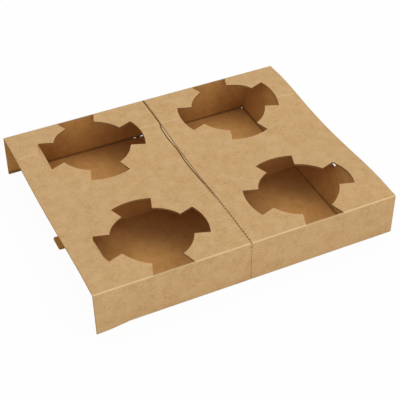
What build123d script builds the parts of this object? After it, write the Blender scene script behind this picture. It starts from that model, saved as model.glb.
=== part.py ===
from build123d import *
import math
import os

# Four-cup carrier folded and glued from one die-cut sheet of corrugated board.
# Millimetres. X runs along the carrier, Y from front to back, Z up from the table.
# The origin is on the table, under the middle of the carrier.

# Overall sizes of the set-up carrier
length = 278.0            # top sheet, free edge to free edge
depth = 226.0             # outside of the front wall to outside of the back wall
height = 42.3             # front and back folds above the table
board = 1.5               # thickness of the corrugated board
fold_inside = 0.6         # radius inside a pressed fold
fold_return = 4.0         # part of the top beside a long fold that stays level

# Cup holes: a circle with four lobes, which leaves four gripping tabs between them
hole_radius = 35.0        # tips of the gripping tabs
lobe_radius = 48.6        # outer ends of the lobes
lobe_width_inner = 28.0   # lobe width where it leaves the circle
lobe_width_outer = 36.8   # lobe width at its outer corners
hole_shift = 0.3          # how much nearer the tear line a hole lies than the middle of its half
hole_from_wall = 45.4     # hole centre to the outside of the nearer long wall
wall_dip = 0.8            # how far the wall's cut edge lies below the fold inside a lobe

# Waves of the top sheet, which hangs free between its folds
sag = 2.9                 # drop of its lowest line
sag_lean = 0.24           # how much more it drops at the right end, and less at the left
sag_end_share = 0.1       # part of the drop that is lost at the free end edges
sag_from_front = 120.0    # lowest line of the sag behind the front wall
sag_reach = 87.0          # half width of the sag
lift = 3.3                # rise of the sheet where the end flaps push it up
lift_past_fold = 0.7      # how far its crest lies past the end fold of the floor
lift_reach_x = 44.0       # half width of the rise along X
lift_from_wall = 27.5     # distance of its crest from the long wall
lift_reach_in = 55.0      # how far the rise fades out towards the middle
wave_columns = 17         # stations along the sheet
wave_rows = 25            # stations from front to back

# Floor, made of two halves whose edges are glued one over the other
end_overhang = 29.7       # how far the top sheet and the long walls run past the floor's end folds
lap_width = 16.0          # width of the glued strip under the divider
tab_setback = 7.0         # ends of that strip, which stick out as flat tabs, inside the top's ends
tab_corner = 1.5

# Divider standing on the floor, with a glued strip under the top sheet
divider_behind_middle = 1.5  # its front face behind the middle of the carrier
divider_strip = 14.0         # width of the glued strip at its head
divider_end_gap = 1.0        # gap between the divider and the end folds

# End flaps: walls folded up from the floor, with a flange tucked under the top sheet
flap_wall_gap = 1.0       # gap beside the long walls
flap_middle_gap = 0.5     # gap between a front flap and the divider
flap_lean = {             # how far the upper fold lies outside the lower one, by end and side
    (-1, -1): 6.8,
    (-1, 1): 5.4,
    (1, -1): 6.0,
    (1, 1): 6.0,
}
flap_shoulder_drop = 2.2  # cut edge of the flap's wall beside the flange, below the flange
flap_fold_inside = 1.2    # radius inside the upper fold, which is not pressed hard
flange_stations = 5       # sections that a flange is drawn through
flange_width = 13.5       # upper fold to the flange's outer edge
flange_clearance = 0.4    # free play under the top sheet
flange_from_wall = 16.0   # start of the flange, from the outside of the long wall
flange_to = 60.0          # end of the flange, from the outside of the long wall
flange_taper = 4.0        # narrowing of the flange towards its outer edge
corner_relief = 1.7       # radius of the relief hole where three folds meet

# Tear line across the whole carrier
perforation_pitch = 3.6
perforation_cut = 2.3
perforation_width = 0.5
fold_slit_length = 2.8     # short slits that weaken the back fold beside the tear line
fold_slit_width = 0.8
fold_slit_x = (2.2, 7.0)   # their middles, either side of the tear line

# Marks in the top sheet
crease_width = 1.4
crease_depth = 0.2
crease_end_run = 22.5     # length of the creases at the two free ends
crease_middle_run = 22.0  # half length of the crease over the tear line
crease_from_back = (      # distances from the back wall at each crease's left and right tip
    (38.0, 38.8),
    (40.4, 41.4),
    (52.0, 53.0),
)
crack_width = 0.6         # cracked line beside the tear line, where the sheet has been bent
crack_depth = 0.5
crack_line = ((-0.5, 71.0), (-2.2, 63.5), (-2.2, -27.0), (-0.7, -47.0))
mark_bend = 0.8

# Sizes that follow from the ones above
half_length = length / 2
half_depth = depth / 2
half_board = board / 2
middle_face = height - half_board
fold_middle = fold_inside + half_board
flap_fold_middle = flap_fold_inside + half_board
level_edge = half_depth - fold_return
hole_x = length / 4 - hole_shift
hole_y = half_depth - hole_from_wall
sag_y = sag_from_front - half_depth
divider_y = divider_behind_middle + half_board
lap_edge = -lap_width / 2
floor_half_length = half_length - end_overhang
tab_half_length = half_length - tab_setback
lift_x = floor_half_length + lift_past_fold
flap_foot_x = floor_half_length - half_board
flange_level = middle_face - board - flange_clearance
flap_shoulder = flange_level - flap_shoulder_drop
tool_reach = 3 * board
deep_below = sag + tool_reach
nearly_straight = math.radians(3)


def swell(distance, reach):
    """Smooth bump: one at the middle, falling as a squared cosine to nothing at reach."""
    if abs(distance) >= reach:
        return 0.0
    return math.cos(math.pi * distance / (2 * reach)) ** 2


def wave(x, y):
    """Height of the top sheet over its level at the folds: lifts over the end flaps less the sag."""
    along = x / half_length
    drop = sag * (1 + sag_lean * along) * (1 - sag_end_share * along ** 2)
    inward = half_depth - abs(y) - lift_from_wall
    reach = lift_reach_in if inward > 0 else lift_from_wall - fold_return
    rise = lift * swell(inward, reach) * swell(abs(x) - lift_x, lift_reach_x)
    return rise - drop * swell(y - sag_y, sag_reach)


def spread(start, end, count):
    """Evenly spaced values from start to end, both included."""
    return [start + (end - start) * i / (count - 1) for i in range(count)]


def waved_slab(offset, thickness):
    """Slab whose underside runs offset above the middle face of the top sheet and waves with it."""
    grid = []
    for x in spread(-half_length, half_length, wave_columns):
        column = []
        for y in spread(-level_edge, level_edge, wave_rows):
            column.append(Vector(x, y, middle_face + offset + wave(x, y)))
        grid.append(column)
    underside = Face.make_surface_from_array_of_points(grid)
    return Solid(extrude(underside, amount=thickness, dir=(0, 0, 1)).wrapped)


def both_ends(shape):
    """The shape and its mirror image at the other end of the carrier."""
    return [shape, mirror(shape, about=Plane.YZ)]


def bent_side(points, bend, shift):
    """Edges of one face of a folded strip: its middle line moved sideways by shift."""
    first_along = (points[1] - points[0]).normalized()
    last_along = (points[-1] - points[-2]).normalized()
    start = points[0] + Vector(-first_along.Y, first_along.X, 0) * shift
    edges = []
    for before, corner, after in zip(points, points[1:], points[2:]):
        into = (corner - before).normalized()
        out = (after - corner).normalized()
        angle = math.acos(max(-1.0, min(1.0, into.dot(out))))
        if angle < nearly_straight:
            between = (into + out).normalized()
            mitre = corner + Vector(-between.Y, between.X, 0) * shift / math.cos(angle / 2)
            edges.append(Edge.make_line(start, mitre))
            start = mitre
            continue
        sign = 1 if into.X * out.Y - into.Y * out.X > 0 else -1
        run = bend * math.tan(angle / 2)
        normal_in = Vector(-into.Y, into.X, 0)
        normal_out = Vector(-out.Y, out.X, 0)
        centre = corner - into * run + normal_in * (bend * sign)
        first = corner - into * run + normal_in * shift
        second = corner + out * run + normal_out * shift
        crown = centre + (corner - centre).normalized() * (bend - sign * shift)
        edges.append(Edge.make_line(start, first))
        edges.append(Edge.make_three_point_arc(first, crown, second))
        start = second
    edges.append(Edge.make_line(start, points[-1] + Vector(-last_along.Y, last_along.X, 0) * shift))
    return edges


def folded_strip(points, bend, width=board):
    """Face of a strip of the given width whose middle line runs through the points, bent at each."""
    line = [Vector(u, v, 0) for u, v in points]
    left = bent_side(line, bend, width / 2)
    right = bent_side(line, bend, -width / 2)
    ends = [Edge.make_line(left[0] @ 0, right[0] @ 0), Edge.make_line(left[-1] @ 1, right[-1] @ 1)]
    return Face(Wire(left + right + ends))


def along_x(face, reach):
    """Section drawn in Y and Z, run along X to the same reach on both sides."""
    placed = Plane(origin=(-reach, 0, 0), x_dir=(0, 1, 0), z_dir=(1, 0, 0)) * face
    return extrude(placed, amount=2 * reach, dir=(1, 0, 0))


def box_between(x0, x1, y0, y1, z0, z1):
    """Box given by its limits."""
    middle = Location(((x0 + x1) / 2, (y0 + y1) / 2, (z0 + z1) / 2))
    return middle * Box(x1 - x0, y1 - y0, z1 - z0)


def front_half():
    """Front wall with its two folds, and the front half of the floor lying over the lap."""
    wall = -half_depth + half_board
    section = [
        (-level_edge, height - half_board),
        (wall, height - half_board),
        (wall, half_board),
        (lap_edge, board + half_board),
        (divider_y, board + half_board),
    ]
    return along_x(folded_strip(section, fold_middle), half_length)


def back_half():
    """Back wall with its two folds, and the back half of the floor down to the lap's edge."""
    wall = half_depth - half_board
    section = [
        (level_edge, height - half_board),
        (wall, height - half_board),
        (wall, half_board),
        (lap_edge, half_board),
    ]
    return along_x(folded_strip(section, fold_middle), half_length)


def end_cutaways():
    """Space outside the end folds, where the floor is cut back and only the lap's tabs stay."""
    inner_wall = half_depth - board
    tools = []
    for y0, y1, z1 in (
        (-inner_wall, lap_edge, tool_reach),
        (lap_edge, -lap_edge, tool_reach),
        (-lap_edge, inner_wall, tool_reach),
    ):
        z0 = board if y0 == lap_edge else -board
        tools += both_ends(box_between(floor_half_length, half_length + board, y0, y1, z0, z1))
    tools += both_ends(box_between(tab_half_length, half_length + board, lap_edge, -lap_edge, -board, board))
    return tools


def tab_edges(shape):
    """Upright corner edges at the ends of the two tabs."""
    chosen = []
    for edge in shape.edges().filter_by(Axis.Z):
        spot = edge.center()
        if abs(abs(spot.X) - tab_half_length) < half_board and abs(abs(spot.Y) + lap_edge) < half_board:
            chosen.append(edge)
    return chosen


def divider():
    """Wall standing at mid depth, folded up from the front half, with its glued strip on top."""
    reach = floor_half_length - board - divider_end_gap
    section = [
        (lap_edge, board + half_board),
        (divider_y, board + half_board),
        (divider_y, height + tool_reach),
    ]
    wall = along_x(folded_strip(section, fold_middle), reach) - waved_slab(0, height)
    zone = box_between(-reach, reach, divider_y - half_board, divider_y + divider_strip, 0, 2 * height)
    return [wall, waved_slab(-board - half_board, board) & zone]


def floor_level(y):
    """Middle of the floor's board above the table; the front half climbs to lie on the lap."""
    if y > -lap_edge:
        return half_board
    wall = -half_depth + half_board
    return half_board + board * min(1.0, (y - wall) / (lap_edge - wall))


def flap_line(side_x, side_y, y, level):
    """Point of a flap's leaning wall at one place along its fold and one height."""
    lean = flap_lean[side_x, side_y] / (flange_level - half_board)
    return (flap_foot_x + lean * (level - floor_level(y)), level)


def flap_wall(side_x, side_y, y_start, y_end):
    """Stretch of an end flap's wall, with its fold and the floor beside it."""
    foot = floor_level(y_start)
    section = [
        (flap_foot_x - lap_width, foot),
        (flap_foot_x, foot),
        flap_line(side_x, side_y, y_start, flap_shoulder),
    ]
    plane = Plane(origin=(0, y_start, 0), x_dir=(1, 0, 0), z_dir=(0, -1, 0))
    run = Vector(0, y_end - y_start, floor_level(y_end) - foot)
    return extrude(plane * folded_strip(section, fold_middle), amount=run.length, dir=run.normalized())


def flange(side_x, side_y):
    """Flange of an end flap, which keeps just under the waved sheet, and its fold."""
    fold_x = flap_foot_x + flap_lean[side_x, side_y]
    edge_x = fold_x + flange_width
    sections = []
    for inward in spread(flange_from_wall, flange_to, flange_stations):
        y = side_y * (half_depth - inward)
        fold = flange_level + wave(side_x * fold_x, y)
        section = [
            flap_line(side_x, side_y, y, flap_shoulder - tool_reach),
            flap_line(side_x, side_y, y, fold),
            (edge_x, flange_level + wave(side_x * edge_x, y)),
        ]
        plane = Plane(origin=(0, y, 0), x_dir=(1, 0, 0), z_dir=(0, -1, 0))
        sections.append(plane * folded_strip(section, flap_fold_middle))
    return loft(sections, ruled=True)


def flange_trims(side_x, side_y):
    """Wedges that taper a flange towards its outer edge."""
    inner = flap_foot_x + flap_lean[side_x, side_y] + flap_fold_middle
    outer = inner + flange_width
    tools = []
    for inward, taper in ((flange_from_wall, flange_taper), (flange_to, -flange_taper)):
        end = side_y * (half_depth - inward)
        tip = side_y * (half_depth - inward - taper)
        beyond = side_y * (half_depth - inward + taper)
        outline = Polyline((inner, end), (outer, tip), (outer, beyond), (inner, beyond), close=True)
        plate = Plane.XY.offset(flap_shoulder) * make_face(outline)
        tools.append(extrude(plate, amount=height, dir=(0, 0, 1)))
    return tools


def end_flaps():
    """The four end flaps."""
    wall_y = half_depth - board - flap_wall_gap
    front_end = divider_y - half_board - flap_middle_gap
    stretches = (
        (-1, -wall_y, lap_edge),
        (-1, lap_edge, front_end),
        (1, wall_y, -lap_edge + flap_middle_gap),
    )
    pieces = []
    for side_x in (-1, 1):
        shapes = []
        for side_y, y_start, y_end in stretches:
            shapes.append(flap_wall(side_x, side_y, y_start, y_end))
        for side_y in (-1, 1):
            shape = flange(side_x, side_y)
            for tool in flange_trims(side_x, side_y):
                shape = shape - tool
            shapes.append(shape)
        for shape in shapes:
            pieces.append(shape if side_x > 0 else mirror(shape, about=Plane.YZ))
    return pieces


def hole_outline():
    """Circle with four lobes, drawn round the origin."""
    inner_x = math.sqrt(hole_radius ** 2 - (lobe_width_inner / 2) ** 2)
    outer_x = math.sqrt(lobe_radius ** 2 - (lobe_width_outer / 2) ** 2)
    slope = (lobe_width_outer - lobe_width_inner) / 2 / (outer_x - inner_x)
    near_half = lobe_width_inner / 2 - slope * inner_x
    far = lobe_radius + board
    far_half = near_half + slope * far
    wedge = make_face(Polyline((0, near_half), (far, far_half), (far, -far_half), (0, -near_half), close=True))
    lobe = wedge & Circle(lobe_radius)
    outline = Sketch() + Circle(hole_radius)
    for quarter in range(4):
        outline += Rot(0, 0, 90 * quarter) * lobe
    return outline


def cup_holes():
    """Tools for the four cup holes, each shallower where it reaches a long wall."""
    outline = hole_outline()
    inside = box_between(-length, length, -half_depth + board, half_depth - board, 0, 2 * height)
    tools = []
    for side_x in (-1, 1):
        for side_y in (-1, 1):
            spot = Location((side_x * hole_x, side_y * hole_y, 0))
            low = Location((0, 0, height - board - deep_below)) * spot * outline
            deep = extrude(low, amount=deep_below + 2 * tool_reach, dir=(0, 0, 1)) & inside
            edge = Location((0, 0, height - wall_dip)) * spot * outline
            shallow = extrude(edge, amount=tool_reach, dir=(0, 0, 1))
            tools += [deep, shallow]
    return tools


def perforation_spots(start, end):
    """Middles of the cuts along one stretch of the tear line, placed evenly within it."""
    count = max(1, int((end - start) / perforation_pitch))
    margin = ((end - start) - (count - 1) * perforation_pitch) / 2
    return [start + margin + perforation_pitch * i for i in range(count)]


def tear_line():
    """Cuts across the top, the floor, both long walls and the divider."""
    half_width = perforation_width / 2
    half_cut = perforation_cut / 2
    run = half_depth - board - fold_inside
    tools = []
    for y in perforation_spots(-run, run):
        for z0, z1 in ((-board, tool_reach), (height - board - deep_below, height + tool_reach)):
            tools.append(box_between(-half_width, half_width, y - half_cut, y + half_cut, z0, z1))
    walls = ((-half_depth, -1), (half_depth, 1))
    for z in perforation_spots(board + fold_inside, height - board - fold_inside):
        for y, side in walls:
            y0, y1 = sorted((y + side * board, y - side * 2 * board))
            tools.append(box_between(-half_width, half_width, y0, y1, z - half_cut, z + half_cut))
    top = height - board - sag - tool_reach
    for z in perforation_spots(2 * board + fold_inside, top):
        y0, y1 = divider_y - board, divider_y + board
        tools.append(box_between(-half_width, half_width, y0, y1, z - half_cut, z + half_cut))
    return tools


def back_fold_slits():
    """Short slits through the lower back fold beside the tear line."""
    half_cut = fold_slit_length / 2
    y0 = half_depth - board - fold_slit_width
    y1 = half_depth - board
    tools = []
    for x in fold_slit_x:
        tools += both_ends(box_between(x - half_cut, x + half_cut, y0, y1, -board, board + fold_inside))
    return tools


def corner_reliefs():
    """Small round holes in the floor where an end fold meets a long fold."""
    y = half_depth - board - corner_relief / 2
    tools = []
    for side in (-1, 1):
        spot = Location((floor_half_length - board, side * y, 0))
        tools += both_ends(spot * Cylinder(corner_relief, 2 * tool_reach))
    return tools


def crease_lines():
    """Tips of the creases across the sheet: at its left end, over the tear line, at its right end."""
    past = half_length + board
    inside = half_length - crease_end_run
    spans = ((-past, -inside), (-crease_middle_run, crease_middle_run), (inside, past))
    lines = []
    for (x0, x1), (from_back0, from_back1) in zip(spans, crease_from_back):
        lines.append(((x0, half_depth - from_back0), (x1, half_depth - from_back1)))
    return lines


def pressed_marks():
    """Shallow marks in the upper face: creases, and a cracked line beside the tear line."""
    marks = []
    groups = ((crease_lines(), crease_width, crease_depth), ([crack_line], crack_width, crack_depth))
    for lines, width, deep in groups:
        skin = waved_slab(half_board - deep, board)
        for line in lines:
            plan = extrude(folded_strip(line, mark_bend, width), amount=2 * height, dir=(0, 0, 1))
            marks.append(skin & plan)
    return marks


def carrier_sheet():
    """The whole carrier as one folded and glued sheet."""
    sheet = front_half() + back_half()
    for tool in end_cutaways():
        sheet = sheet - tool
    sheet = fillet(tab_edges(sheet), tab_corner)
    sheet = sheet + waved_slab(-half_board, board)
    for tool in cup_holes() + pressed_marks() + corner_reliefs() + back_fold_slits():
        sheet = sheet - tool
    for piece in divider() + end_flaps():
        sheet = sheet + piece
    return sheet - tear_line()


os.makedirs("parts", exist_ok=True)
carrier = carrier_sheet()
export_step(carrier, "parts/carrier_sheet.step")
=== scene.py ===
import math

import bmesh
import bpy
import numpy as np
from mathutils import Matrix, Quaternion, Vector


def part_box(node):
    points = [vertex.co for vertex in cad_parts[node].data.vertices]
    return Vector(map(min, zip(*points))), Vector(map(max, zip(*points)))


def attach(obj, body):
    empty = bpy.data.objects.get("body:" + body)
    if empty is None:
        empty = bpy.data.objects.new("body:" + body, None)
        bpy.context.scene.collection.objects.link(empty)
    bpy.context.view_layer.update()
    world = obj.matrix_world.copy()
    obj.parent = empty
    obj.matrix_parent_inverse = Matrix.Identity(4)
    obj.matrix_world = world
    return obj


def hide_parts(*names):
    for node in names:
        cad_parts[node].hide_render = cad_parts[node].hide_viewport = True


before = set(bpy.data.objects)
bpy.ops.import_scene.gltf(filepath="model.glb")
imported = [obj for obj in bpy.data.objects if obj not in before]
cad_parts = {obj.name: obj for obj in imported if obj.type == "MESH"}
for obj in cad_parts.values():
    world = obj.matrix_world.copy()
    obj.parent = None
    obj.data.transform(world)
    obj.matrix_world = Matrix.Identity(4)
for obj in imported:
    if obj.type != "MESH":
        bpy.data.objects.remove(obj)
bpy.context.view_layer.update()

# Four-cup carrier of kraft corrugated board, seen from the front left and above.
# Metres, in the carrier's own frame: X along it, Y to the back, Z up, origin under its middle.

MM = 0.001

# The carrier, from the frame
FAR_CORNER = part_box("carrier_sheet")[1]
HALF_LENGTH = FAR_CORNER.x
HALF_DEPTH = FAR_CORNER.y

# Sizes of the board that the finish goes by
BOARD = 1.5 * MM
FOLD_HEIGHT = 42.3 * MM          # front and back folds above the table
FLOOR_END = 109.3 * MM           # the floor's end folds, from the middle
FLUTE_PITCH = 3.4 * MM           # E flute, whose flutes run from front to back
CUT_PITCH = 3.6 * MM             # cuts of the tear line, one of which lies at the middle

# Waves of the top sheet: it sags along the middle and is lifted over the end flaps
SAG, SAG_LEAN, SAG_END_SHARE = 2.9 * MM, 0.24, 0.1
SAG_Y, SAG_REACH = 7.0 * MM, 87.0 * MM
LIFT, LIFT_X, LIFT_REACH_X = 3.3 * MM, 110.0 * MM, 44.0 * MM
LIFT_FROM_WALL, LIFT_REACH_IN, LIFT_REACH_OUT = 27.5 * MM, 55.0 * MM, 23.5 * MM
SHEET_LOW = FOLD_HEIGHT - 6.0 * MM    # no part of the top sheet hangs lower
SLOPE_STEP = 0.25 * MM                # to each side, when a slope is worked out

# Wear: a cracked line beside the tear line, as Y and X of its points
PRESSED = np.array([              # its straight runs in the frame
    (-47.0, -0.7), (-27.0, -2.2), (63.5, -2.2), (71.0, -0.5)]) * MM
CRACK = np.array([                # the crack's own line
    (-47.0, -0.7), (-28.0, -1.0), (-14.0, -1.5), (-1.0, -2.0), (11.0, -2.2), (23.0, -1.7),
    (31.0, -1.4), (38.0, -2.1), (48.0, -2.7), (63.5, -2.5), (71.0, -0.5)]) * MM
GROOVE_HALF, GROOVE_DEPTH = 0.45 * MM, 0.6 * MM

# Wear: the front wall's lower left corner, swung out
CORNER_SWING = 2.6 * MM
SWING_STEPS = 6

# Right end flaps: extra lean at one place along them, and how it grows towards the divider
FRONT_LEAN, REAR_LEAN = (5.0 * MM, 0.065), (6.4 * MM, 0.10)
LEAN_Y = 64.0 * MM
FLAP_FOOT, FLAP_SHOULDER = 3.7 * MM, 37.45 * MM
FLANGE_END, FLANGE_GROWTH = 53.0 * MM, 5.1 * MM    # end beside the divider, from the middle

# Notch in the front right end flap, beside its flange's end. Its top stays clear of the sheet.
NOTCH_X = (111.0 * MM, 118.0 * MM)
NOTCH_Y = (-47.8 * MM, -35.0 * MM)
NOTCH_Z = (32.9 * MM, 38.9 * MM)

# Slits through the lower back fold, on both sides of the tear line: X of each one's middle, half
# its length, and the height that it opens to. Each runs through the corner, from below and within.
SLITS = ((3.4 * MM, 1.7 * MM, 1.66 * MM), (10.6 * MM, 1.4 * MM, 1.60 * MM))
SLIT_Y, SLIT_HALF_Y = 112.4 * MM, 1.5 * MM
SLIT_BOTTOM = -0.5 * MM

# Tests on places of the mesh
MERGE = 0.001 * MM               # points nearer than this are one
SLACK = 0.08 * MM                # play of the tests
WALL_BAND = 1.2 * BOARD          # from a wall's outer face: all of its thickness
FOLD_BAND = 1.3 * BOARD          # the same with the start of a fold's bend
UNDER_SHEET = BOARD + 0.15 * MM  # below the top sheet's upper face: clear of its underside
ON_FLANGE = FLAP_SHOULDER + 0.5 * MM
FLANGE_END_BAND = (FLANGE_END - 1.0 * MM, FLANGE_END + 5.0 * MM)
FLAPS_FROM = 80.0 * MM           # no end flap reaches nearer to the middle
WALL_CLEAR = (2.5 * BOARD, FOLD_HEIGHT - 0.4 * MM)    # heights between a wall's two folds
PAST_FLOOR = FLOOR_END - 1.5 * BOARD                  # the end flaps lie further out
TWO_BOARDS = 2 * BOARD           # thickness where the sheet lies double, or turns a corner

# Tests on normals: the least or greatest share of a face's normal along an axis
FACES_X, FACES_Y, FACES_Z = 0.7, 0.8, 0.9
UPRIGHT, TILTED, ON_WAVE = 0.3, 0.5, 0.96
SHARP = math.radians(28)
# Level wall edges face up into the light, so they keep less of the cut's darker look, partly
# painted shade
WALL_EDGE_LOOK = 0.45            # how much of the cut's look the walls' level edges keep

# Pulp of the liner: sizes of its patterns, and the turn of the two layers of fibres about Z
CLOUD_SIZE, GRAIN_SIZE = 9.0 * MM, 1.6 * MM
FIBRE_LENGTH, FIBRE_WIDTH = 3.0 * MM, 0.5 * MM
FIBRE_TURNS = (0.2, -0.9)
CLOUDS_SHOW = (0.3, 0.7)         # noise at which a pattern starts, and at which it is full
GRAIN_SHOWS = (0.38, 0.62, 0.65)                   # the third is how strong it is then
DARK_FIBRES_SHOW, PALE_FIBRES_SHOW = (0.58, 0.76, 0.4), (0.60, 0.78, 0.35)
RELIEF, RELIEF_STRENGTH, FIBRE_RELIEF = 0.05 * MM, 0.4, 0.4

# Lines on the board. A band is given by how far off it is full and how far off it has gone.
# The front fold's band is a painted highlight, where the bend's rounding catches the light
FRONT_HIGHLIGHT_LINE, FRONT_BEND = (0.4 * MM, 1.25 * MM), (2.2 * MM, 3.0 * MM)
FRONT_HIGHLIGHT_STRENGTH, BACK_STRENGTH = 0.9, 0.6
BACK_LINE_Y = (HALF_DEPTH - 2.2 * MM, HALF_DEPTH - 0.6 * MM)
BACK_LINE_Z = (FOLD_HEIGHT - 2.4 * MM, FOLD_HEIGHT - 1.0 * MM)
# Painted shade in the inner corners where the floor turns up: band from the corner, rise, strength
CORNER_SHADE_BAND, CORNER_SHADE_RISE, CORNER_SHADE_STRENGTH = (0.6 * MM, 2.0 * MM), (2.2 * MM, 3.8 * MM), 0.65
CREASES = (                      # each crease from tip to tip: X at both tips, then Y
    ((-139.0 * MM, -116.5 * MM), (75.0 * MM, 74.2 * MM)),
    ((-22.0 * MM, 22.0 * MM), (72.6 * MM, 71.6 * MM)),
    ((116.5 * MM, 139.0 * MM), (61.0 * MM, 60.0 * MM)),
)
CREASE_BAND, CREASE_TIP, CREASE_STRENGTH = (0.7 * MM, 1.9 * MM), 3.0 * MM, 0.75

# Crushed liner and painted shade along the crack and along the tear line's cuts
CRACK_BAND = (0.35 * MM, 0.9 * MM)
CRACK_GROWS, CRACK_START = (-51.0 * MM, -20.0 * MM), 0.2    # along Y, from a faint start
TEAR_FULL, TEAR_GONE, TEAR_STRENGTH = 0.3 * MM, 1.0 * MM, 0.7
TEAR_X = -0.1 * MM
TEAR_REACH = (                   # from Y to Y, how much wider the band at the cuts grows
    (-64.0 * MM, -56.0 * MM, 0.4 * MM),
    (-24.0 * MM, -14.0 * MM, -0.4 * MM),
    (66.0 * MM, 72.0 * MM, 0.55 * MM),
)
CUT_TICKS, BETWEEN_TICKS = (-0.9, 0.1), 0.35       # cosine at which a cut starts and is full
UNEVEN, UNEVEN_LEAST = (0.35, 0.55), 0.7
# Painted highlight on the ridge between the crack and the cuts
RIDGE_FROM_CRACK, RIDGE_FROM_CUTS = (0.45 * MM, 0.8 * MM), (-0.85 * MM, -0.4 * MM)
RIDGE_HIGHLIGHT_STRENGTH, RIDGE_TIP = 0.45, 6.0 * MM
RIDGE = (                        # from Y to Y, where the sheet stands up between crack and cuts
    (-10.0 * MM, 26.0 * MM),
    (34.0 * MM, 66.0 * MM),
)

# Cut edge, in shares of the board's thickness
WAVE_SWING, WAVE_BAND, HOLLOW_BAND = 0.33, (0.08, 0.2), (0.32, 0.42)

# Table and light
TABLE_REACH, TABLE_DROP = 6.0, 0.05 * MM
TABLE_GLOW = 0.96                # share of the table's own white in what the camera sees
ROOM_LIGHT = 0.6
BOX_DISTANCE, BOX_SIZE = 1.6, 0.9
SOFT_BOXES = (                   # azimuth and elevation in degrees, and watts
    ("rear_box", 180, 64, 5.2),
    ("front_box", 0, 12, 4.7),
    ("right_box", 60, 64, 4.2),
)

# Camera, fitted to the corners, folds and hole outlines
CAMERA_PLACE = Vector((-0.31540, -0.67531, 0.63136))
CAMERA_AIM = Vector((-0.00343, -0.02166, 0.02000))
CAMERA_ROLL = math.radians(-0.138)
LENS, PICTURE_WIDTH = 96.37, 36  # millimetres, on a square picture
NEAREST = 10 * MM


def linear(code):
    """Linear colour of an sRGB hex value."""
    values = [int(code[i:i + 2], 16) / 255 for i in (1, 3, 5)]
    return [v / 12.92 if v <= 0.04045 else ((v + 0.055) / 1.055) ** 2.4 for v in values] + [1.0]


def add(tree, kind, links=(), **settings):
    """Adds a node with its settings, and links or values for its inputs. Gives its outputs."""
    node = tree.nodes.new(kind)
    for key, value in settings.items():
        setattr(node, key, value)
    for name, source in dict(links).items():
        if isinstance(source, bpy.types.NodeSocket):
            tree.links.new(source, node.inputs[name])
        else:
            node.inputs[name].default_value = source
    return node.outputs


def empty_tree(made):
    """Node tree of a new material or world, emptied."""
    made.use_nodes = True
    made.node_tree.nodes.clear()
    return made.node_tree


def pulp(tree, place):
    """Clouds, grain and two layers of fibres of the liner. Gives the colour, grain and fibres."""
    clouds = add(tree, "ShaderNodeTexNoise", {
        "Vector": place, "Scale": 1 / CLOUD_SIZE, "Detail": 3.0, "Roughness": 0.55})["Fac"]
    grain = add(tree, "ShaderNodeTexNoise", {
        "Vector": place, "Scale": 1 / GRAIN_SIZE, "Detail": 2.0, "Roughness": 0.55})["Fac"]
    layers = []
    for turn in FIBRE_TURNS:
        laid = add(tree, "ShaderNodeMapping", {
            "Vector": place, "Scale": (1 / FIBRE_LENGTH, 1 / FIBRE_WIDTH, 1 / FIBRE_WIDTH),
            "Rotation": (0, 0, turn)})["Vector"]
        layers.append(add(tree, "ShaderNodeTexNoise", {
            "Vector": laid, "Scale": 1.0, "Detail": 1.0})["Fac"])
    fibres, crossed = layers

    cloudy = add(tree, "ShaderNodeMapRange", {
        "Value": clouds, "From Min": CLOUDS_SHOW[0], "From Max": CLOUDS_SHOW[1]})[0]
    tone = add(tree, "ShaderNodeMix", {
        "Factor": cloudy, 6: linear("#BE9563"), 7: linear("#CFAA79")}, data_type="RGBA")[2]
    for noise, (start, full, strength), colour in (
            (grain, GRAIN_SHOWS, "#D2AE7C"),
            (fibres, DARK_FIBRES_SHOW, "#96703F"),
            (crossed, PALE_FIBRES_SHOW, "#E0C193")):
        share = add(tree, "ShaderNodeMapRange", {
            "Value": noise, "From Min": start, "From Max": full, "To Max": strength})[0]
        tone = add(tree, "ShaderNodeMix", {
            "Factor": share, 6: tone, 7: linear(colour)}, data_type="RGBA")[2]
    return tone, grain, fibres


def fold_lines(tree, axes, tone):
    """Painted highlight along the middle of the front fold's bend, darker back fold line."""
    behind = add(tree, "ShaderNodeMath", {0: axes["Y"], 1: HALF_DEPTH}, operation="ADD")[0]
    below = add(tree, "ShaderNodeMath", {0: FOLD_HEIGHT, 1: axes["Z"]}, operation="SUBTRACT")[0]
    off_middle = add(tree, "ShaderNodeMath", {0: behind, 1: below}, operation="SUBTRACT")[0]
    off_middle = add(tree, "ShaderNodeMath", {0: off_middle}, operation="ABSOLUTE")[0]
    highlight = add(tree, "ShaderNodeMapRange", {
        "Value": off_middle, "From Min": FRONT_HIGHLIGHT_LINE[0], "From Max": FRONT_HIGHLIGHT_LINE[1],
        "To Min": 1.0, "To Max": 0.0}, interpolation_type="SMOOTHSTEP")[0]
    from_bend = add(tree, "ShaderNodeMath", {0: behind, 1: below}, operation="ADD")[0]
    within = add(tree, "ShaderNodeMapRange", {
        "Value": from_bend, "From Min": FRONT_BEND[0], "From Max": FRONT_BEND[1],
        "To Min": FRONT_HIGHLIGHT_STRENGTH, "To Max": 0.0})[0]
    front = add(tree, "ShaderNodeMath", {0: highlight, 1: within}, operation="MULTIPLY")[0]
    # Painted highlight where the front fold's rounding catches the light
    tone = add(tree, "ShaderNodeMix", {
        "Factor": front, 6: tone, 7: linear("#E6C897")}, data_type="RGBA")[2]

    high = add(tree, "ShaderNodeMapRange", {
        "Value": axes["Z"], "From Min": BACK_LINE_Z[0], "From Max": BACK_LINE_Z[1]},
        interpolation_type="SMOOTHSTEP")[0]
    near_back = add(tree, "ShaderNodeMapRange", {
        "Value": axes["Y"], "From Min": BACK_LINE_Y[0], "From Max": BACK_LINE_Y[1],
        "To Max": BACK_STRENGTH}, interpolation_type="SMOOTHSTEP")[0]
    back = add(tree, "ShaderNodeMath", {0: near_back, 1: high}, operation="MULTIPLY")[0]
    return add(tree, "ShaderNodeMix", {
        "Factor": back, 6: tone, 7: linear("#94703F")}, data_type="RGBA")[2]


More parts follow.
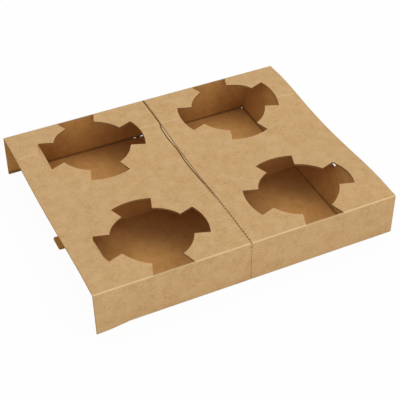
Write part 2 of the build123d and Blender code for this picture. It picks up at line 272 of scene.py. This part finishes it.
def corner_shade(tree, axes, tone):
    """Painted shade in the inner corners, where the floor turns up."""
    side = add(tree, "ShaderNodeMath", {0: axes["Y"]}, operation="ABSOLUTE")[0]
    end = add(tree, "ShaderNodeMath", {0: axes["X"]}, operation="ABSOLUTE")[0]
    to_wall = add(tree, "ShaderNodeMath", {0: side, 1: HALF_DEPTH - BOARD}, operation="SUBTRACT")[0]
    to_wall = add(tree, "ShaderNodeMath", {0: to_wall}, operation="ABSOLUTE")[0]
    to_flap = add(tree, "ShaderNodeMath", {0: end, 1: FLOOR_END - BOARD}, operation="SUBTRACT")[0]
    to_flap = add(tree, "ShaderNodeMath", {0: to_flap}, operation="ABSOLUTE")[0]
    to_corner = add(tree, "ShaderNodeMath", {0: to_wall, 1: to_flap}, operation="MINIMUM")[0]
    beside = add(tree, "ShaderNodeMapRange", {
        "Value": to_corner, "From Min": CORNER_SHADE_BAND[0], "From Max": CORNER_SHADE_BAND[1],
        "To Min": 1.0, "To Max": 0.0}, interpolation_type="SMOOTHSTEP")[0]
    low = add(tree, "ShaderNodeMapRange", {
        "Value": axes["Z"], "From Min": CORNER_SHADE_RISE[0], "From Max": CORNER_SHADE_RISE[1],
        "To Min": CORNER_SHADE_STRENGTH, "To Max": 0.0}, interpolation_type="SMOOTHSTEP")[0]
    in_shade = add(tree, "ShaderNodeMath", {0: beside, 1: low}, operation="MULTIPLY")[0]
    inside = add(tree, "ShaderNodeMath", {
        0: side, 1: HALF_DEPTH - 0.5 * BOARD}, operation="LESS_THAN")[0]
    in_shade = add(tree, "ShaderNodeMath", {0: in_shade, 1: inside}, operation="MULTIPLY")[0]
    # Painted shade darkens the inner corners
    return add(tree, "ShaderNodeMix", {
        "Factor": in_shade, 6: tone, 7: linear("#6E4820")}, data_type="RGBA")[2]


def crease_lines(tree, axes, on_top, tone):
    """Pale creases in the top sheet, where bending has stretched the liner."""
    stretched = 0.0
    for (start_x, end_x), (start_y, end_y) in CREASES:
        line_y = add(tree, "ShaderNodeMapRange", {
            "Value": axes["X"], "From Min": start_x, "From Max": end_x,
            "To Min": start_y, "To Max": end_y})[0]
        off = add(tree, "ShaderNodeMath", {0: axes["Y"], 1: line_y}, operation="SUBTRACT")[0]
        off = add(tree, "ShaderNodeMath", {0: off}, operation="ABSOLUTE")[0]
        band = add(tree, "ShaderNodeMapRange", {
            "Value": off, "From Min": CREASE_BAND[0], "From Max": CREASE_BAND[1],
            "To Min": 1.0, "To Max": 0.0}, interpolation_type="SMOOTHSTEP")[0]
        middle, half = (start_x + end_x) / 2, (end_x - start_x) / 2
        along = add(tree, "ShaderNodeMath", {0: axes["X"], 1: middle}, operation="SUBTRACT")[0]
        along = add(tree, "ShaderNodeMath", {0: along}, operation="ABSOLUTE")[0]
        within = add(tree, "ShaderNodeMapRange", {
            "Value": along, "From Min": half - CREASE_TIP, "From Max": half,
            "To Min": CREASE_STRENGTH, "To Max": 0.0})[0]
        near = add(tree, "ShaderNodeMath", {0: band, 1: within}, operation="MULTIPLY")[0]
        stretched = add(tree, "ShaderNodeMath", {0: stretched, 1: near}, operation="MAXIMUM")[0]
    stretched = add(tree, "ShaderNodeMath", {0: stretched, 1: on_top}, operation="MULTIPLY")[0]
    return add(tree, "ShaderNodeMix", {
        "Factor": stretched, 6: tone, 7: linear("#DDBB8A")}, data_type="RGBA")[2]


def beside_crack(tree, axes):
    """How far a point lies along X from the bent crack, which runs straight between its points."""
    crack_x = float(CRACK[0, 1])
    for (start_y, start_x), (end_y, end_x) in zip(CRACK[:-1].tolist(), CRACK[1:].tolist()):
        stretch = add(tree, "ShaderNodeMapRange", {
            "Value": axes["Y"], "From Min": start_y, "From Max": end_y,
            "To Max": end_x - start_x})[0]
        crack_x = add(tree, "ShaderNodeMath", {0: crack_x, 1: stretch}, operation="ADD")[0]
    return add(tree, "ShaderNodeMath", {0: axes["X"], 1: crack_x}, operation="SUBTRACT")[0]


def crushed_liner_and_shade(tree, axes, beside):
    """How crushed the liner is, with painted shade, along the crack and in ticks at the tear line's
    cuts.
    """
    off_crack = add(tree, "ShaderNodeMath", {0: beside}, operation="ABSOLUTE")[0]
    crack_crush_and_shade = add(tree, "ShaderNodeMapRange", {
        "Value": off_crack, "From Min": CRACK_BAND[0], "From Max": CRACK_BAND[1],
        "To Min": 1.0, "To Max": 0.0}, interpolation_type="SMOOTHSTEP")[0]
    length = add(tree, "ShaderNodeMapRange", {
        "Value": axes["Y"], "From Min": CRACK_GROWS[0], "From Max": CRACK_GROWS[1],
        "To Min": CRACK_START})[0]
    crack_crush_and_shade = add(tree, "ShaderNodeMath", {0: crack_crush_and_shade, 1: length}, operation="MULTIPLY")[0]

    reach = TEAR_GONE
    for start, end, change in TEAR_REACH:
        wider = add(tree, "ShaderNodeMapRange", {
            "Value": axes["Y"], "From Min": start, "From Max": end, "To Max": change})[0]
        reach = add(tree, "ShaderNodeMath", {0: reach, 1: wider}, operation="ADD")[0]
    off_line = add(tree, "ShaderNodeMath", {0: axes["X"], 1: TEAR_X}, operation="SUBTRACT")[0]
    off_line = add(tree, "ShaderNodeMath", {0: off_line}, operation="ABSOLUTE")[0]
    torn_and_shade = add(tree, "ShaderNodeMapRange", {
        "Value": off_line, "From Min": TEAR_FULL, "From Max": reach,
        "To Min": TEAR_STRENGTH, "To Max": 0.0}, interpolation_type="SMOOTHSTEP")[0]
    turns = add(tree, "ShaderNodeMath", {
        0: axes["Y"], 1: math.tau / CUT_PITCH}, operation="MULTIPLY")[0]
    cuts = add(tree, "ShaderNodeMath", {0: turns}, operation="COSINE")[0]
    cuts = add(tree, "ShaderNodeMapRange", {
        "Value": cuts, "From Min": CUT_TICKS[0], "From Max": CUT_TICKS[1],
        "To Min": BETWEEN_TICKS, "To Max": 1.0})[0]
    torn_and_shade = add(tree, "ShaderNodeMath", {0: torn_and_shade, 1: cuts}, operation="MULTIPLY")[0]
    return add(tree, "ShaderNodeMath", {0: crack_crush_and_shade, 1: torn_and_shade}, operation="MAXIMUM")[0]


def ridge_highlight(tree, axes, beside):
    """Painted highlight where the narrow ridge between the crack and the cuts stands up to the
    light.
    """
    ridge_light = add(tree, "ShaderNodeMapRange", {
        "Value": beside, "From Min": RIDGE_FROM_CRACK[0], "From Max": RIDGE_FROM_CRACK[1],
        "To Max": RIDGE_HIGHLIGHT_STRENGTH}, interpolation_type="SMOOTHSTEP")[0]
    inside = add(tree, "ShaderNodeMapRange", {
        "Value": axes["X"], "From Min": RIDGE_FROM_CUTS[0], "From Max": RIDGE_FROM_CUTS[1],
        "To Min": 1.0, "To Max": 0.0}, interpolation_type="SMOOTHSTEP")[0]
    ridge_light = add(tree, "ShaderNodeMath", {0: ridge_light, 1: inside}, operation="MULTIPLY")[0]
    standing = 0.0
    for start, end in RIDGE:
        middle, half = (start + end) / 2, (end - start) / 2
        off_middle = add(tree, "ShaderNodeMath", {
            0: axes["Y"], 1: middle}, operation="SUBTRACT")[0]
        off_middle = add(tree, "ShaderNodeMath", {0: off_middle}, operation="ABSOLUTE")[0]
        part = add(tree, "ShaderNodeMapRange", {
            "Value": off_middle, "From Min": half - RIDGE_TIP, "From Max": half,
            "To Min": 1.0, "To Max": 0.0})[0]
        standing = add(tree, "ShaderNodeMath", {0: standing, 1: part}, operation="MAXIMUM")[0]
    return add(tree, "ShaderNodeMath", {0: ridge_light, 1: standing}, operation="MULTIPLY")[0]


def tear_line(tree, axes, on_top, grain, tone):
    """Painted ridge highlight by the crack, then crushed liner and painted shade, uneven with
    grain.
    """
    beside = beside_crack(tree, axes)
    ridge_light = ridge_highlight(tree, axes, beside)
    ridge_light = add(tree, "ShaderNodeMath", {0: ridge_light, 1: on_top}, operation="MULTIPLY")[0]
    # Painted highlight on the ridge
    tone = add(tree, "ShaderNodeMix", {
        "Factor": ridge_light, 6: tone, 7: linear("#E8CBA0")}, data_type="RGBA")[2]
    uneven = add(tree, "ShaderNodeMapRange", {
        "Value": grain, "From Min": UNEVEN[0], "From Max": UNEVEN[1],
        "To Min": UNEVEN_LEAST, "To Max": 1.0})[0]
    crushed_and_shade = crushed_liner_and_shade(tree, axes, beside)
    crushed_and_shade = add(tree, "ShaderNodeMath", {0: crushed_and_shade, 1: uneven}, operation="MULTIPLY")[0]
    crushed_and_shade = add(tree, "ShaderNodeMath", {0: crushed_and_shade, 1: on_top}, operation="MULTIPLY")[0]
    # Crushed liner and painted shade in the crack and at the tear line's cuts
    return add(tree, "ShaderNodeMix", {
        "Factor": crushed_and_shade, 6: tone, 7: linear("#5C3A12")}, data_type="RGBA")[2]


def cut_edges(tree, axes, tone):
    """A liner on each side of a waved middle sheet, with painted shade in the flutes' hollows
    between.

    The middle sheet's place across the board is a sine wave along X, one turn for each flute.
    """
    across = add(tree, "ShaderNodeAttribute", attribute_name="across_board")["Fac"]
    turns = add(tree, "ShaderNodeMath", {
        0: axes["X"], 1: math.tau / FLUTE_PITCH}, operation="MULTIPLY")[0]
    waved = add(tree, "ShaderNodeMath", {0: turns}, operation="SINE")[0]
    middle = add(tree, "ShaderNodeMath", {
        0: waved, 1: WAVE_SWING, 2: 0.5}, operation="MULTIPLY_ADD")[0]
    gap = add(tree, "ShaderNodeMath", {0: across, 1: middle}, operation="SUBTRACT")[0]
    gap = add(tree, "ShaderNodeMath", {0: gap}, operation="ABSOLUTE")[0]
    hollow_shade = add(tree, "ShaderNodeMapRange", {
        "Value": gap, "From Min": WAVE_BAND[0], "From Max": WAVE_BAND[1]})[0]
    to_middle = add(tree, "ShaderNodeMath", {0: across, 1: 0.5}, operation="SUBTRACT")[0]
    to_middle = add(tree, "ShaderNodeMath", {0: to_middle}, operation="ABSOLUTE")[0]
    inside = add(tree, "ShaderNodeMapRange", {
        "Value": to_middle, "From Min": HOLLOW_BAND[0], "From Max": HOLLOW_BAND[1],
        "To Min": 1.0, "To Max": 0.0})[0]
    hollow_shade = add(tree, "ShaderNodeMath", {0: hollow_shade, 1: inside}, operation="MULTIPLY")[0]
    # Painted shade in the flutes' hollows
    edge_tone = add(tree, "ShaderNodeMix", {
        "Factor": hollow_shade, 6: linear("#B58B57"), 7: linear("#7A5430")}, data_type="RGBA")[2]
    cut = add(tree, "ShaderNodeAttribute", attribute_name="cut_edge")["Fac"]
    return add(tree, "ShaderNodeMix", {
        "Factor": cut, 6: tone, 7: edge_tone}, data_type="RGBA")[2]


def kraft_linerboard():
    """Unbleached kraft linerboard, made on a paper machine from long brown fibres, left uncoated.

    It is matte and warm, with a fine cloudy grain and pale and dark fibres that lie mostly along X.
    The inside liner is browner than the outside one, a tint that is also painted shade for the deep
    wells. A crease has stretched the liner to a paler line, the front fold's bend carries a painted
    highlight, painted shade darkens the inner corners, and the back fold has a darker line. Along
    the crack and at the tear line, with a tick for each cut, the liner is crushed and brown, partly
    painted shade, and between the two a narrow ridge carries a painted highlight. The die leaves
    darker cut edges, where the two liners and the fluted middle between them show, with painted
    shade in the flutes' hollows.
    """
    made = bpy.data.materials.new("kraft_linerboard")
    tree = empty_tree(made)
    place = add(tree, "ShaderNodeTexCoord")["Object"]
    axes = add(tree, "ShaderNodeSeparateXYZ", {"Vector": place})
    on_top = add(tree, "ShaderNodeMapRange", {
        "Value": axes["Z"], "From Min": SHEET_LOW, "From Max": SHEET_LOW + 1 * MM})[0]

    tone, grain, fibres = pulp(tree, place)
    # Inside liner's browner tint: partly its own colour, partly painted shade of the deep wells
    liner_and_well_shade = add(tree, "ShaderNodeAttribute", attribute_name="inner_liner_and_well_shade")["Fac"]
    tone = add(tree, "ShaderNodeMix", {
        "Factor": liner_and_well_shade, 6: tone, 7: linear("#FFE9C2")}, data_type="RGBA", blend_type="MULTIPLY")[2]
    tone = fold_lines(tree, axes, tone)
    tone = corner_shade(tree, axes, tone)
    tone = crease_lines(tree, axes, on_top, tone)
    tone = tear_line(tree, axes, on_top, grain, tone)
    tone = cut_edges(tree, axes, tone)

    height = add(tree, "ShaderNodeMath", {
        0: fibres, 1: FIBRE_RELIEF, 2: grain}, operation="MULTIPLY_ADD")[0]
    bump = add(tree, "ShaderNodeBump", {
        "Height": height, "Distance": RELIEF, "Strength": RELIEF_STRENGTH})
    board = add(tree, "ShaderNodeBsdfPrincipled", {
        "Base Color": tone, "Roughness": 0.85, "IOR": 1.45, "Specular IOR Level": 0.25,
        "Normal": bump["Normal"]})
    add(tree, "ShaderNodeOutputMaterial", {"Surface": board["BSDF"]})
    return made


def swell(distance, reach):
    """Bump of height 1 that falls as a squared cosine to nothing at reach."""
    return np.where(np.abs(distance) < reach, np.cos(np.pi * distance / (2 * reach)) ** 2, 0.0)


def wave(x, y):
    """Height of the top sheet over its folds: squared cosine lifts over the flaps, less the sag."""
    along = x / HALF_LENGTH
    drop = SAG * (1 + SAG_LEAN * along) * (1 - SAG_END_SHARE * along ** 2)
    inward = HALF_DEPTH - np.abs(y) - LIFT_FROM_WALL
    reach = np.where(inward > 0, LIFT_REACH_IN, LIFT_REACH_OUT)
    rise = LIFT * swell(inward, reach) * swell(np.abs(x) - LIFT_X, LIFT_REACH_X)
    return rise - drop * swell(y - SAG_Y, SAG_REACH)


def wave_normal(x, y):
    """Upward normals of the waved sheet, from the slopes of its height over a short step."""
    step = SLOPE_STEP
    slope_x = (wave(x + step, y) - wave(x - step, y)) / (2 * step)
    slope_y = (wave(x, y + step) - wave(x, y - step)) / (2 * step)
    normals = np.stack([-slope_x, -slope_y, np.ones_like(slope_x)], axis=-1)
    return normals / np.linalg.norm(normals, axis=-1, keepdims=True)


def merged_copy(node):
    """Copy of a CAD node's mesh with its loose triangles joined."""
    mesh = bmesh.new()
    mesh.from_mesh(node.data)
    bmesh.ops.remove_doubles(mesh, verts=mesh.verts, dist=MERGE)
    data = bpy.data.meshes.new("carrier_board")
    mesh.to_mesh(data)
    mesh.free()
    return data


def cut_open(data):
    """Cuts the slits through the lower back fold and the notch in an end flap. Gives a new mesh.

    Each cut is a box between two opposite corners, low and high: the corners of a box are all the
    choices of one or the other along each axis.
    """
    boxes = [(NOTCH_X, NOTCH_Y, NOTCH_Z)]
    slit_y = (SLIT_Y - SLIT_HALF_Y, SLIT_Y + SLIT_HALF_Y)
    for middle, half, top in SLITS:
        for side in (-1, 1):
            slit_x = (side * middle - half, side * middle + half)
            boxes.append((slit_x, slit_y, (SLIT_BOTTOM, top)))
    low, high = np.moveaxis(np.array(boxes), -1, 0)
    choice = np.indices((2, 2, 2)).reshape(3, -1).T
    corners = np.where(choice, high[:, None], low[:, None])
    sides = np.array((
        (0, 1, 3, 2), (4, 6, 7, 5), (0, 4, 5, 1), (2, 3, 7, 6), (0, 2, 6, 4), (1, 5, 7, 3)))
    faces = sides + 8 * np.arange(len(boxes))[:, None, None]
    shapes = bpy.data.meshes.new("knives")
    shapes.from_pydata(corners.reshape(-1, 3).tolist(), [], faces.reshape(-1, 4).tolist())
    knives = bpy.data.objects.new("knives", shapes)
    board = bpy.data.objects.new("uncut_board", data)
    for piece in (knives, board):
        bpy.context.scene.collection.objects.link(piece)
    cut = board.modifiers.new("openings", "BOOLEAN")
    cut.object, cut.operation, cut.solver = knives, "DIFFERENCE", "EXACT"
    finished = board.evaluated_get(bpy.context.evaluated_depsgraph_get())
    made = bpy.data.meshes.new_from_object(finished)
    for piece in (knives, board):
        bpy.data.objects.remove(piece)
    for uncut in (shapes, data):
        bpy.data.meshes.remove(uncut)
    made.name = "carrier_board"
    return made


def cut_finer(data):
    """Cuts the mesh finer where the crack and the left end are going to move, into triangles."""
    mesh = bmesh.new()
    mesh.from_mesh(data)
    left = np.linspace(-FLOOR_END, -HALF_LENGTH, SWING_STEPS + 1)[:-1]
    planes = [((x, 0, 0), (1, 0, 0)) for x in left]
    planes += [((0, y, 0), (0, 1, 0)) for y in CRACK[1:-1, 0]]
    for place, across in planes:
        whole = mesh.verts[:] + mesh.edges[:] + mesh.faces[:]
        bmesh.ops.bisect_plane(mesh, geom=whole, dist=MERGE, plane_co=place, plane_no=across)
    bmesh.ops.triangulate(mesh, faces=mesh.faces)
    mesh.to_mesh(data)
    mesh.free()


def swing_corner(data):
    """Swings the front wall's lower corner out.

    The swing is a quarter sine wave along X from the floor's end to the wall's end, and falls off
    in a straight line from the table up to the fold.
    """
    places = np.zeros(len(data.vertices) * 3)
    data.vertices.foreach_get("co", places)
    x, y, z = places.reshape(-1, 3).T
    along = np.clip((-x - FLOOR_END) / (HALF_LENGTH - FLOOR_END), 0, 1)
    swing = CORNER_SWING * np.sin(np.pi / 2 * along) * np.clip(1 - z / FOLD_HEIGHT, 0, 1)
    y -= np.where(y < -HALF_DEPTH + WALL_BAND, swing, 0)
    data.vertices.foreach_set("co", places)
    data.update()


def bend_crack(data):
    """Moves the crack's groove along X from its straight runs to the crack's own line.

    Both lines run straight between their points, and a point of the groove moves by the difference
    between them at its Y.
    """
    places = np.zeros(len(data.vertices) * 3)
    data.vertices.foreach_get("co", places)
    x, y, z = places.reshape(-1, 3).T
    straight = np.interp(y, *PRESSED.T)
    groove = (np.abs(x - straight) < GROOVE_HALF) & (z > SHEET_LOW)
    groove &= (y > PRESSED[0, 0]) & (y < PRESSED[-1, 0])
    groove &= FOLD_HEIGHT + wave(x, y) - z < GROOVE_DEPTH
    x += np.where(groove, np.interp(y, *CRACK.T) - straight, 0)
    data.vertices.foreach_set("co", places)
    data.update()


def lean_flaps(data):
    """Leans the right end flaps further out, and widens their flanges towards the divider.

    Each point moves along X in proportion to its height, and more towards the divider, where the
    flap is free. A flange keeps its distance from the waved sheet, and its end beside the divider
    moves along Y, at the front as far as the notch.
    """
    places = np.zeros(len(data.vertices) * 3)
    data.vertices.foreach_get("co", places)
    x, y, z = places.reshape(-1, 3).T
    level, side = wave(x, y), np.abs(y)
    flap = (x > FLOOR_END - FOLD_BAND) & (side < HALF_DEPTH - WALL_BAND) & (z > FLAP_FOOT)
    flap &= FOLD_HEIGHT + level - z > UNDER_SHEET
    on_flange = flap & (z > ON_FLANGE)
    flange_end = on_flange & (side > FLANGE_END_BAND[0]) & (side < FLANGE_END_BAND[1])

    y -= np.where(flange_end, np.sign(y) * FLANGE_GROWTH, 0)
    share = np.clip((z - FLAP_FOOT) / (FLAP_SHOULDER - FLAP_FOOT), 0, 1)
    front = FRONT_LEAN[0] - FRONT_LEAN[1] * (-y - LEAN_Y)
    rear = REAR_LEAN[0] - REAR_LEAN[1] * (y - LEAN_Y)
    x += np.where(flap, share * np.where(y < 0, front, rear), 0)
    z += np.where(on_flange, wave(x, y) - level, 0)
    data.vertices.foreach_set("co", places)
    data.update()


def triangle_arrays(data):
    """Corner places and normals of a mesh of triangles: an array of n x 3 corners, and one of n."""
    places = np.zeros(len(data.vertices) * 3)
    data.vertices.foreach_get("co", places)
    corners = np.zeros(len(data.loops), np.int32)
    data.loops.foreach_get("vertex_index", corners)
    normals = np.zeros(len(data.polygons) * 3)
    data.polygons.foreach_get("normal", normals)
    return places.reshape(-1, 3)[corners].reshape(-1, 3, 3), normals.reshape(-1, 3)


def store(data, name, domain, values):
    """Keeps an array of numbers on the mesh, one for each face or corner."""
    attribute = data.attributes.new(name, "FLOAT", domain)
    attribute.data.foreach_set("value", values.astype(np.float32).ravel())


def mark_board(data):
    """Marks cut edges, how far across the board their corners lie, and the inside liner.

    A cut edge is a face that turns away from the liners of its part of the sheet: in the top sheet
    one that lies within the board's thickness and isn't level, in the walls one that faces along X
    or, clear of the folds, up or down, in the floor and tabs an upright one, and at the end flaps
    one that faces along Y or lies on the notch's bottom. The inside liner is what faces the heart
    of the carrier, and on the end flaps and their flanges, which are bent outward, what faces into
    the well or up, apart from a flange's upper side in the light. Its browner tint is partly the
    liner's own and partly painted shade for the deep wells, so the lit flange top stays paler.
    """
    corners, normals = triangle_arrays(data)
    x, y, z = np.moveaxis(corners, -1, 0)
    nx, ny, nz = np.abs(normals).T
    depth = FOLD_HEIGHT + wave(x, y) - z
    low, high = z.min(axis=1), z.max(axis=1)
    far, near = np.abs(y).max(axis=1), np.abs(y).min(axis=1)
    end = np.abs(x).min(axis=1)
    true = wave_normal(x.mean(axis=1), y.mean(axis=1))
    level = np.abs(np.einsum("ij,ij->i", normals, true))
    off_folds = far < HALF_DEPTH - TWO_BOARDS

    in_wall = near > HALF_DEPTH - BOARD - SLACK
    expected = BOARD / 2 * (1 - normals[:, 2])
    in_top = (np.abs(depth.mean(axis=1) - expected) < BOARD / 2) & (low > SHEET_LOW) & ~in_wall
    top_cut = in_top & (level < TILTED) & (off_folds | (nx > FACES_X))
    clear = (low > WALL_CLEAR[0]) & (high < WALL_CLEAR[1])
    overhang = (high < SLACK) & (end > FLOOR_END - SLACK)
    wall_cut = in_wall & ((nx > FACES_X) | ((nz > FACES_Z) & (clear | overhang)))
    floor_cut = (high < TWO_BOARDS + 2 * SLACK) & (nz < UPRIGHT) & off_folds
    at_flap = (end > FLAPS_FROM) & (end < FLOOR_END + BOARD) & (low > BOARD) & ~in_top & ~in_wall
    at_end = (end > PAST_FLOOR) & (high > TWO_BOARDS) & ~in_top & ~in_wall
    at_notch = at_end & (nz > FACES_Z) & (np.abs(low - NOTCH_Z[0]) < SLACK)
    flap_cut = ((at_flap | at_end) & (ny > FACES_Y)) | at_notch
    cut = (top_cut | wall_cut | floor_cut | flap_cut).astype(float)
    # Level wall edges facing up keep less of the cut's darker look, which is partly painted shade
    cut = np.where(wall_cut & (nz > FACES_Z), WALL_EDGE_LOOK, cut)
    store(data, "cut_edge", "FACE", cut)

    in_floor = (z / BOARD) % 1.0
    across = np.where(in_top[:, None], depth / BOARD, in_floor)
    across = np.where(in_wall[:, None], (HALF_DEPTH - np.abs(y)) / BOARD, across)
    store(data, "across_board", "CORNER", np.clip(across, 0, 1))

    # Inside liner tint, also painted shade of the wells; a flange's lit upper side keeps the paler
    # tone
    from_heart = corners.mean(axis=1) - (0, 0, FOLD_HEIGHT / 2)
    faces_heart = np.einsum("ij,ij->i", normals, from_heart) < 0
    faces_well = normals[:, 2] - normals[:, 0] * np.sign(x.mean(axis=1)) > 0
    in_light = at_end & (normals[:, 2] > TILTED) & (low > SHEET_LOW)
    store(data, "inner_liner_and_well_shade", "FACE", np.where(at_end, faces_well & ~in_light, faces_heart))


def smooth_waves(data):
    """Gives the top sheet's faces the true normals of its waves, so that no triangle shows."""
    data.shade_smooth()
    data.set_sharp_from_angle(angle=SHARP)
    corners, normals = triangle_arrays(data)
    true = wave_normal(corners[..., 0], corners[..., 1])
    facing = np.einsum("ik,ijk->ij", normals, true)
    on_sheet = (np.abs(facing) > ON_WAVE).all(axis=1) & (corners[..., 2] > SHEET_LOW).all(axis=1)
    on_sheet &= np.abs(corners[..., 1]).max(axis=1) < HALF_DEPTH - FOLD_BAND
    chosen = np.where(on_sheet[:, None, None], true * np.sign(facing)[..., None], 0.0)
    data.normals_split_custom_set(chosen.reshape(-1, 3).tolist())


def carrier_board():
    """The carrier's board: the CAD sheet with its slits and notch cut, its marks and its wear."""
    data = cut_open(merged_copy(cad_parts["carrier_sheet"]))
    cut_finer(data)
    mark_board(data)
    swing_corner(data)
    bend_crack(data)
    lean_flaps(data)
    smooth_waves(data)
    data.materials.append(kraft_linerboard())
    piece = bpy.data.objects.new("carrier_board", data)
    bpy.context.scene.collection.objects.link(piece)
    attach(piece, "root")
    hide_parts("carrier_sheet")


def white_table():
    """Matt white laminate, near white to the camera. It keeps the carrier's soft shadow."""
    made = bpy.data.materials.new("white_laminate")
    tree = empty_tree(made)
    camera_ray = add(tree, "ShaderNodeLightPath")["Is Camera Ray"]
    matt = add(tree, "ShaderNodeBsdfDiffuse", {"Color": linear("#F2F2F2")})
    glow = add(tree, "ShaderNodeEmission", {"Color": linear("#FFFFFF"), "Strength": 1.0})
    seen = add(tree, "ShaderNodeMixShader", {0: TABLE_GLOW, 1: matt[0], 2: glow[0]})
    both = add(tree, "ShaderNodeMixShader", {0: camera_ray, 1: matt[0], 2: seen[0]})
    add(tree, "ShaderNodeOutputMaterial", {"Surface": both[0]})
    corners = [(x * TABLE_REACH, y * TABLE_REACH, -TABLE_DROP)
               for x, y in ((-1, -1), (1, -1), (1, 1), (-1, 1))]
    data = bpy.data.meshes.new("table_top")
    data.from_pydata(corners, [], [(0, 1, 2, 3)])
    data.materials.append(made)
    floor = bpy.data.objects.new("table_top", data)
    bpy.context.scene.collection.objects.link(floor)


def soft_box(name, azimuth, elevation, power):
    """Square lamp that looks at the carrier from an azimuth and an elevation, in degrees."""
    a, e = math.radians(azimuth), math.radians(elevation)
    out = Vector((math.sin(a) * math.cos(e), -math.cos(a) * math.cos(e), math.sin(e)))
    light = bpy.data.lights.new(name, "AREA")
    light.size = BOX_SIZE
    light.energy = power
    lamp = bpy.data.objects.new(name, light)
    lamp.location = out * BOX_DISTANCE
    lamp.rotation_mode = "QUATERNION"
    lamp.rotation_quaternion = (-out).to_track_quat("-Z", "Y")
    bpy.context.scene.collection.objects.link(lamp)


def studio():
    """White room light all round, and soft boxes behind, in front and to the right."""
    world = bpy.data.worlds.new("studio")
    tree = empty_tree(world)
    camera_ray = add(tree, "ShaderNodeLightPath")["Is Camera Ray"]
    seen = add(tree, "ShaderNodeBackground", {"Color": linear("#FFFFFF"), "Strength": 1.0})
    lit = add(tree, "ShaderNodeBackground", {"Color": linear("#FFFFFF"), "Strength": ROOM_LIGHT})
    both = add(tree, "ShaderNodeMixShader", {0: camera_ray, 1: lit[0], 2: seen[0]})
    add(tree, "ShaderNodeOutputWorld", {"Surface": both[0]})
    bpy.context.scene.world = world
    for box in SOFT_BOXES:
        soft_box(*box)


def camera():
    """Camera at the photographer's place, square picture."""
    lens = bpy.data.cameras.new("camera")
    lens.sensor_width = PICTURE_WIDTH
    lens.lens = LENS
    lens.clip_start = NEAREST
    eye = bpy.data.objects.new("camera", lens)
    eye.location = CAMERA_PLACE
    eye.rotation_mode = "QUATERNION"
    turn = (CAMERA_AIM - CAMERA_PLACE).to_track_quat("-Z", "Y")
    eye.rotation_quaternion = turn @ Quaternion((0, 0, 1), CAMERA_ROLL)
    bpy.context.scene.collection.objects.link(eye)
    bpy.context.scene.camera = eye


camera()
studio()
white_table()
carrier_board()

bpy.context.scene.view_settings.view_transform = "Standard"
